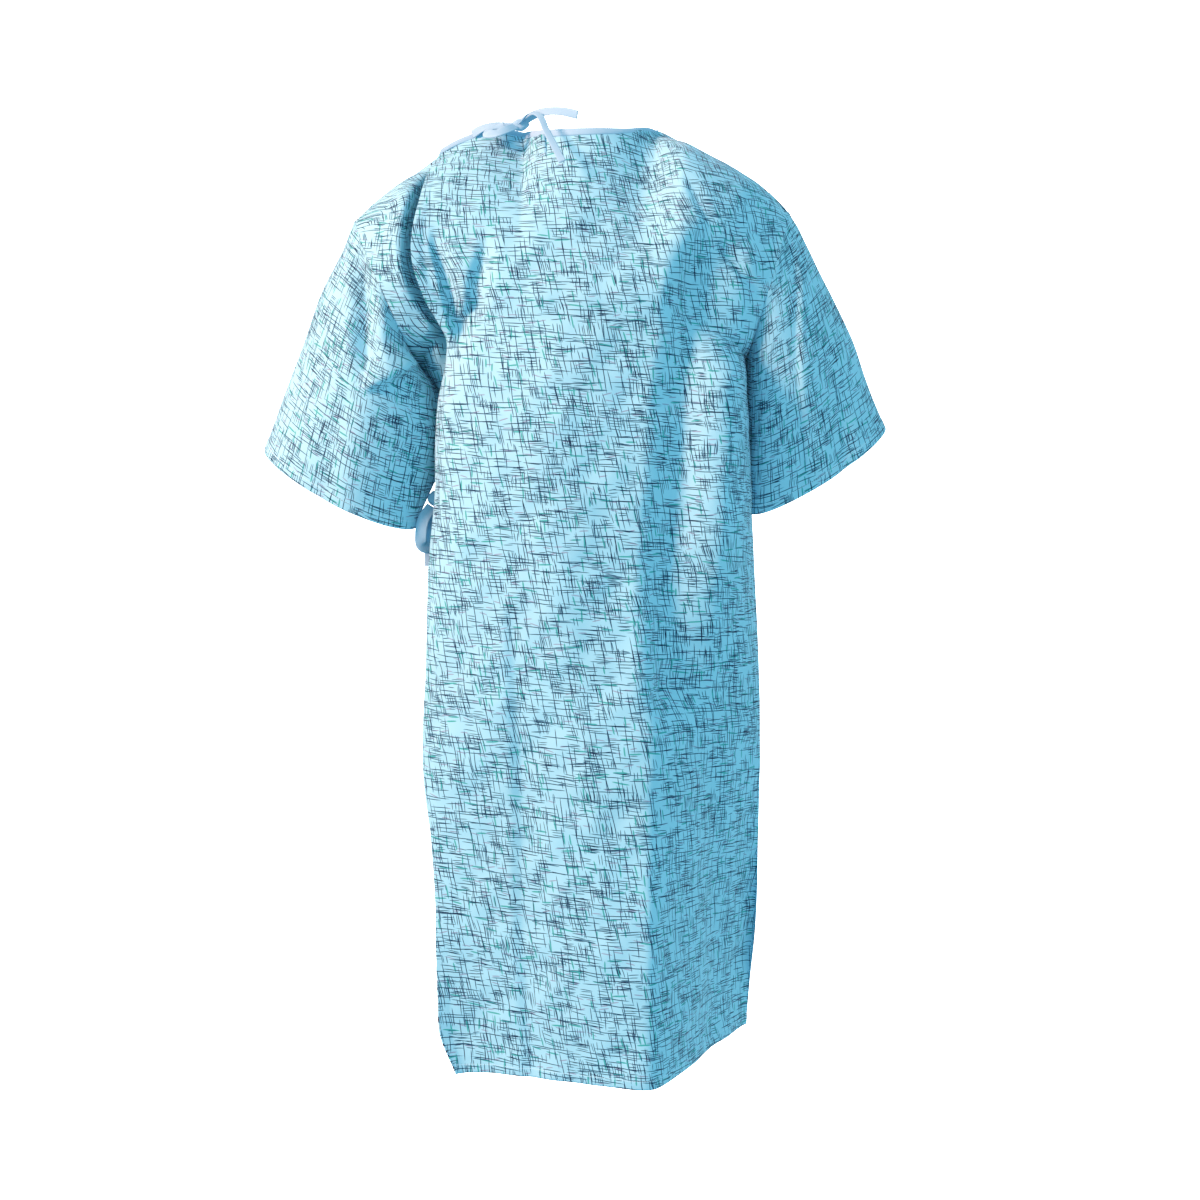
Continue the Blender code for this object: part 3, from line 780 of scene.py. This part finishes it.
def strip(name, centres, sides, faces_out, wide, thick, mat, puffed=0.0):
    """A closed flat band along the points, wide across sides and thick along faces_out."""
    profile = [(-0.5, 0.30), (-0.38, 0.5), (0.0, 0.5 + puffed), (0.38, 0.5), (0.5, 0.30)]
    profile += [(0.5, -0.30), (0.38, -0.5), (0.0, -0.5 - puffed), (-0.38, -0.5), (-0.5, -0.30)]
    n, k = len(centres), len(profile)
    points = []
    for c, s, o in zip(centres, sides, faces_out):
        points += [c + s * (a * wide) + o * (b * thick) for a, b in profile]
    run = np.concatenate([[0.0], np.cumsum(np.linalg.norm(np.diff(centres, axis=0), axis=1))])
    faces, uvs = [], []
    for i in range(n - 1):
        for j in range(k):
            m = (j + 1) % k
            faces.append([i * k + j, i * k + m, (i + 1) * k + m, (i + 1) * k + j])
            across = [profile[j][0] * wide + 0.5 * wide, profile[m][0] * wide + 0.5 * wide]
            uvs += [(across[0], run[i]), (across[1], run[i])]
            uvs += [(across[1], run[i + 1]), (across[0], run[i + 1])]
    for i, ordered in ((0, range(k - 1, -1, -1)), (n - 1, range(k))):
        faces.append([i * k + j for j in ordered])
        uvs += [(profile[j][0] * wide + 0.5 * wide, run[i]) for j in ordered]
    obj = new_object(name, points, faces, [mat])
    set_uv(obj, "cloth", uvs)
    return obj


def catmull(points, count, even=False):
    """Smooth curve through the points, evenly read; even gives each stretch the same share."""
    points = np.array(points, float)
    steps = np.ones(len(points) - 1) if even else np.linalg.norm(np.diff(points, axis=0), axis=1)
    chord = np.concatenate([[0.0], np.cumsum(steps)])
    at = np.linspace(0.0, chord[-1], count)
    return np.stack([spline(np.stack([chord, points[:, k]], 1), at) for k in range(3)], 1)


def ribbon(name, points, flats, mat, wide=TAPE_WIDE, count=48):
    """A flat tape along a route. flats are directions that its face looks in, from start to end."""
    line = catmull(points, count)
    ahead = np.gradient(line, axis=0)
    ahead /= np.linalg.norm(ahead, axis=1, keepdims=True)
    looks = catmull(flats, count, True)
    looks -= (looks * ahead).sum(1, keepdims=True) * ahead
    looks /= np.linalg.norm(looks, axis=1, keepdims=True)
    sides = np.cross(ahead, looks)
    return strip(name, line, sides, looks, wide, 0.0012, mat), line


def bind_edge(name, p, mat, wide):
    """Folded binding over the top edge of a panel's grid of points p[row, column]."""
    top = p[0]
    fallen = np.argmax(top[:, 2] - p[:, :, 2] > 0.8 * wide, axis=0)
    down = p[fallen, np.arange(len(top))] - top
    down /= np.linalg.norm(down, axis=1, keepdims=True)
    along = np.gradient(top, axis=0)
    along /= np.linalg.norm(along, axis=1, keepdims=True)
    out = np.cross(along, down)
    if (out[len(out) // 2]) @ (top[len(out) // 2] - np.array([0.0, 0.0, top[0][2]])) < 0:
        out = -out
    centres = top + down * (0.5 * wide - 0.0014)
    return strip(name, centres, down, out, wide, 0.0040, mat, 0.05)


# ---------------------------------------------------------------- camera, lights and floor


FLOOR_RADIUS = 1.6
FLOOR_Z = -1.56


def camera():
    """The back of the gown seen square on, from 2.4 m, a little above its middle."""
    data = bpy.data.cameras.new("camera")
    data.lens = 56.25
    data.sensor_width = 36.0
    data.shift_y = -0.104
    obj = bpy.data.objects.new("camera", data)
    obj.location = (0.0128, -2.4, -0.4316)
    obj.rotation_euler = (math.radians(90.0), 0.0, 0.0)
    bpy.context.scene.collection.objects.link(obj)
    bpy.context.scene.camera = obj


# Name, place, target, size, power and colour. The key is warm because the light around it is blue.
LIGHTS = (
    ("key", (-2.4, -1.6, 0.90), (0.0, 0.0, -0.45), 0.9, 256.0, (1.0, 0.365, 0.235)),
    ("fill", (0.6, -3.0, 0.9), (0.05, 0.0, -0.6), 2.0, 5.0, (1.0, 0.9, 0.8)),
    ("window", (0.6, 2.6, 0.6), (0.0, 0.0, -0.55), 2.0, 20.0, (1.0, 1.0, 1.0)),
)


def area_light(name, place, target, size, power, colour):
    data = bpy.data.lights.new(name, "AREA")
    data.shape = "DISK"
    data.size = size
    data.energy = power
    data.color = colour
    obj = bpy.data.objects.new(name, data)
    obj.location = place
    obj.rotation_euler = (Vector(target) - Vector(place)).to_track_quat("-Z", "Y").to_euler()
    bpy.context.scene.collection.objects.link(obj)


def studio():
    """White surroundings that the camera sees as white, and a softer, cooler light from them."""
    world = bpy.data.worlds.new("studio")
    world.use_nodes = True
    bpy.context.scene.world = world
    nodes, links = world.node_tree.nodes, world.node_tree.links
    ambient = nodes["Background"]
    ambient.inputs[0].default_value = (0.68, 0.91, 1.0, 1.0)
    ambient.inputs[1].default_value = 0.91
    seen = nodes.new("ShaderNodeBackground")
    seen.inputs[1].default_value = 4.0
    rays = nodes.new("ShaderNodeLightPath")
    choose = nodes.new("ShaderNodeMixShader")
    links.new(rays.outputs["Is Camera Ray"], choose.inputs[0])
    links.new(ambient.outputs[0], choose.inputs[1])
    links.new(seen.outputs[0], choose.inputs[2])
    links.new(choose.outputs[0], nodes["World Output"].inputs[0])
    bpy.context.scene.view_settings.view_transform = "Standard"
    for light in LIGHTS:
        area_light(*light)


def floor():
    mesh = bpy.data.meshes.new("floor")
    angles = np.linspace(0, 2 * math.pi, 97)[:-1]
    ring = [(FLOOR_RADIUS * math.cos(a), FLOOR_RADIUS * math.sin(a), FLOOR_Z) for a in angles]
    mesh.from_pydata(ring, [], [list(range(96))])
    obj = bpy.data.objects.new("floor", mesh)
    bpy.context.scene.collection.objects.link(obj)
    g = Graph("pale_floor", 0.9)
    grain = g.noise(g.node("ShaderNodeTexCoord").outputs["Object"], 40.0)
    tone = g.math("MULTIPLY_ADD", grain, 0.01, 0.97)
    pale = g.node("ShaderNodeCombineColor", {0: tone, 1: tone, 2: tone})
    g.links.new(pale.outputs[0], g.shader.inputs["Base Color"])
    g.shader.inputs["Emission Color"].default_value = (1.0, 1.0, 1.0, 1.0)
    g.shader.inputs["Emission Strength"].default_value = 2.5
    mesh.materials.append(g.mat)
    obj.visible_diffuse = False
    obj.visible_glossy = False


# ---------------------------------------------------------------- the gown


def rows(start, end, count):
    return np.linspace(start, end, count)


def body_rows(count):
    """Rows of a body panel, closer together over the shoulders and at the hem."""
    return np.concatenate([rows(0.0, 0.06, 22)[:-1], rows(0.06, 0.97, count)[:-1], rows(0.97, 1.0, 14)])


def declare(obj, nodes, body=None):
    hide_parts(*nodes)
    if body:
        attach(obj, body)
    return obj


def make_back(outside, inside, trim):
    p = grid(over_back, rows(0.0, 1.0, 170), body_rows(230))
    thick = hem_thickness(p, ("left",))
    over = cloth_sheet("over_panel", p, thick, [outside, inside], (11.0, -2.5), BODY_AXIS)
    nodes = ("back_right_panel", "back_flap", "hem_back_right", "hem_back_flap", "flap_edge_hem")
    declare(over, nodes)
    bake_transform(over)
    keep = np.abs(p[0, :, 0] - 0.5 * (p[0, 0, 0] + NECK_HALF)) < 0.5 * (NECK_HALF - p[0, 0, 0]) + 0.006
    band = bind_edge("neck_binding_back", p[:, keep], trim, 0.0100)
    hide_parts("binding_flap")
    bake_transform(band)
    p = grid(under_back, rows(0.0, 1.0, 80), body_rows(150))
    thick = hem_thickness(p, ("right",))
    under = cloth_sheet(
        "under_panel", p, thick, [outside, inside], (6.0, -4.0), BODY_AXIS, shift=(0.31, 0.17)
    )
    nodes = ("back_under_panel", "hem_back_under", "under_edge_hem")
    declare(under, nodes, "gown")
    keep = np.abs(p[0, :, 0]) < NECK_HALF + 0.004
    band = bind_edge("neck_binding_under", p[:, keep], trim, 0.0080)
    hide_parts("binding_under")
    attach(band, "gown")


def make_front(outside, inside, trim):
    p = grid(front_body, rows(0.0, 1.0, 150), body_rows(150))
    front = cloth_sheet(
        "front", p, hem_thickness(p), [outside, inside], (-2.0, -2.0), BODY_AXIS, shift=(0.57, 0.05)
    )
    declare(front, ("front_panel", "hem_front"), "gown")
    keep = np.abs(p[0, :, 0]) < NECK_HALF + 0.004
    band = bind_edge("neck_binding_front", p[:, keep], trim, 0.0100)
    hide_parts("binding_front")
    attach(band, "gown")


def make_sleeve(side, outside, inside):
    turns = rows(0.0, 1.0, 141)
    vs = np.concatenate([rows(-0.020, 0.93, 82)[:-1], rows(0.93, 1.0, 12)])
    p = grid(lambda turn, v: sleeve(side, turn, v), turns, vs)
    low, tip = np.array(SLEEVES[side]["low"]), np.array(SLEEVES[side]["tip"])
    start, hem = 0.5 * (low + tip), np.array(SLEEVES[side]["hem"])
    lean = -2.0 if side == "left" else 2.0
    mats, skew, axis = [outside, inside], (lean, lean), (start, hem)
    obj = cloth_sheet(f"short_sleeve_{side}", p, hem_thickness(p), mats, skew, axis, True, (0.11, 0.43))
    declare(obj, (f"sleeve_{side}", f"sleeve_hem_{side}"))
    across = tip - low
    plane = np.array([across[2], 0.0, -across[0]])
    plane /= np.linalg.norm(plane)
    if plane @ (hem - start) < 0:
        plane = -plane
    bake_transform(obj)


def knot_mesh(name, centre, size, mat, seed):
    """A small tied knot: a rounded lump with the tape's turns standing on it."""
    around, up = np.meshgrid(rows(0.0, 1.0, 49), rows(0.02, 0.98, 25))
    theta, phi = 2 * math.pi * around, math.pi * up
    turns = 0.10 * np.sin(3 * theta + 5.0 * up + seed) + 0.07 * np.sin(2 * theta - 9.0 * up)
    turns = 1.0 + turns * np.sin(phi)
    p = np.stack([
        np.sin(phi) * np.cos(theta) * turns, np.sin(phi) * np.sin(theta) * turns, np.cos(phi) * turns
    ], -1)
    p = np.array(centre) + p * np.array(size)
    n, k = p.shape[0], p.shape[1] - 1
    points = list(p[:, :-1].reshape(-1, 3))
    faces = [
        [i * k + j, (i + 1) * k + j, (i + 1) * k + (j + 1) % k, i * k + (j + 1) % k]
        for i in range(n - 1) for j in range(k)
    ]
    faces += [list(range(k)), [(n - 1) * k + j for j in range(k - 1, -1, -1)]]
    obj = new_object(name, points, faces, [mat])
    loops = [points[v] for f in faces for v in f]
    set_uv(obj, "cloth", [(q[0] + q[1], q[2]) for q in loops])
    return obj


def tie(name, route, flats, trim, node, body="flap", wide=TAPE_WIDE):
    """A tape along a route, attached to a body, with the part of that name hidden."""
    obj, line = ribbon(name, route, flats, trim, wide)
    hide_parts(node)
    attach(obj, body)
    return obj


def make_neck_ties(trim):
    knot = knot_mesh("neck_knot", (-0.0890, -0.0240, 0.0120), (0.011, 0.009, 0.0075), trim, 0.4)
    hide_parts("neck_tie_knot")
    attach(knot, "flap")
    up, back, left = (0.0, -0.3, 1.0), (0.0, -1.0, 0.3), (-1.0, -0.3, 0.2)
    root = (
        (-0.1500, -0.0100, 0.0030), (-0.1360, -0.0150, 0.0100), (-0.1200, -0.0190, 0.0130),
        (-0.1030, -0.0220, 0.0110), (-0.0900, -0.0240, 0.0110),
    )
    looks = (back, (0.0, -0.8, 0.6), back)
    tie("neck_tape_shoulder", root, looks, trim, "neck_tie_shoulder")
    loop = (
        (-0.0930, -0.0300, 0.0100), (-0.1040, -0.0400, 0.0040), (-0.1180, -0.0440, -0.0020),
        (-0.1310, -0.0380, -0.0010), (-0.1260, -0.0290, 0.0060), (-0.1080, -0.0280, 0.0110),
    )
    tie("neck_loop", loop, (back, back, left, up, back), trim, "neck_tie_loop")
    tail_up = (
        (-0.0900, -0.0260, 0.0110), (-0.0760, -0.0340, 0.0200), (-0.0580, -0.0460, 0.0245),
        (-0.0370, -0.0560, 0.0235), (-0.0150, -0.0640, 0.0175),
    )
    looks = ((0.0, -1.0, 0.0), (0.0, -1.0, 0.1), back, (0.0, -1.0, -0.2))
    tie("neck_tail_up", tail_up, looks, trim, "neck_tie_tail_up")
    tail_down = (
        (-0.0880, -0.0310, 0.0130), (-0.0760, -0.0460, 0.0230), (-0.0640, -0.0620, 0.0180),
        (-0.0540, -0.0800, -0.0040), (-0.0440, -0.0990, -0.0260), (-0.0330, -0.1120, -0.0490),
    )
    looks = ((0.0, -0.5, 1.0), (0.2, -0.8, 0.6), (0.3, -1.0, 0.2), (0.3, -1.0, 0.0), (0.1, -1.0, 0.0))
    tie("neck_tail_down", tail_down, looks, trim, "neck_tie_tail_down", wide=0.0090)


# From the CAD knot to where the photograph shows it
SIDE_KNOT_SHIFT = (0.010, -0.008, 0.022)


def add_mesh(obj, other):
    """Moves the mesh of the other object into obj."""
    both = bmesh.new()
    both.from_mesh(obj.data)
    both.from_mesh(other.data)
    both.to_mesh(obj.data)
    both.free()
    bpy.data.objects.remove(other)


def make_side_ties(trim):
    """The side tie, whose knot hangs from a short tape sewn inside the edge of the flap."""
    low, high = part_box("side_tie_knot")
    centre = 0.5 * (np.array(low) + np.array(high)) + np.array(SIDE_KNOT_SHIFT)
    knot = knot_mesh("side_knot", tuple(centre), (0.008, 0.008, 0.010), trim, 1.7)
    edge = grid(over_back, np.array([0.0, 0.10]), rows(0.35, 0.45, 100))
    outer, inner = edge[np.argmin(np.abs(edge[:, 0, 2] - centre[2] - 0.004))]
    inside = np.array([0.0008, 0.0030, 0.0])
    leaves = outer + np.array([0.0005, 0.0100, -0.0010])
    route = (inner + inside, mix(inner, outer, 0.6) + inside, leaves, centre)
    looks = ((-0.77, -0.6, 0.0), (-0.8, -0.5, 0.0), (-1.0, -0.2, 0.0), (-1.0, 0.0, 0.0))
    sewn_end, _ = ribbon("side_tape_sewn", route, looks, trim)
    add_mesh(knot, sewn_end)
    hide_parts("side_tie_knot")
    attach(knot, "flap")
    loop = (
        (-0.003, -0.006, -0.0100), (-0.013, -0.012, -0.0260), (-0.0165, -0.013, -0.0450),
        (-0.0145, -0.010, -0.0600), (-0.006, -0.005, -0.0620), (-0.001, -0.002, -0.0450),
        (0.001, -0.002, -0.0220),
    )
    back = (-0.1, -1.0, 0.0)
    route = [tuple(centre + np.array(q)) for q in loop]
    looks = (back, back, back, (0.7, -0.7, 0.0), (0.8, -0.6, 0.0), back)
    tie("side_loop", route, looks, trim, "side_tie_loop", wide=0.0150)
    tail = ((-0.004, 0.006, -0.012), (-0.007, 0.004, -0.050), (-0.008, 0.002, -0.086))
    route = [tuple(centre + np.array(q)) for q in tail]
    tie("side_tail", route, (back, back, back), trim, "side_tie_tail")


def build():
    camera()
    studio()
    floor()
    outside = printed_cloth("printed_cotton", BLUE, 1.0)
    inside = printed_cloth("printed_cotton_inside", PALE, 0.45)
    trim = plain_cloth("plain_tape_cotton", TAPE)
    make_neck_ties(trim)
    make_side_ties(trim)
    make_back(outside, inside, trim)
    make_front(outside, inside, trim)
    for side in ("left", "right"):
        make_sleeve(side, outside, inside)


build()
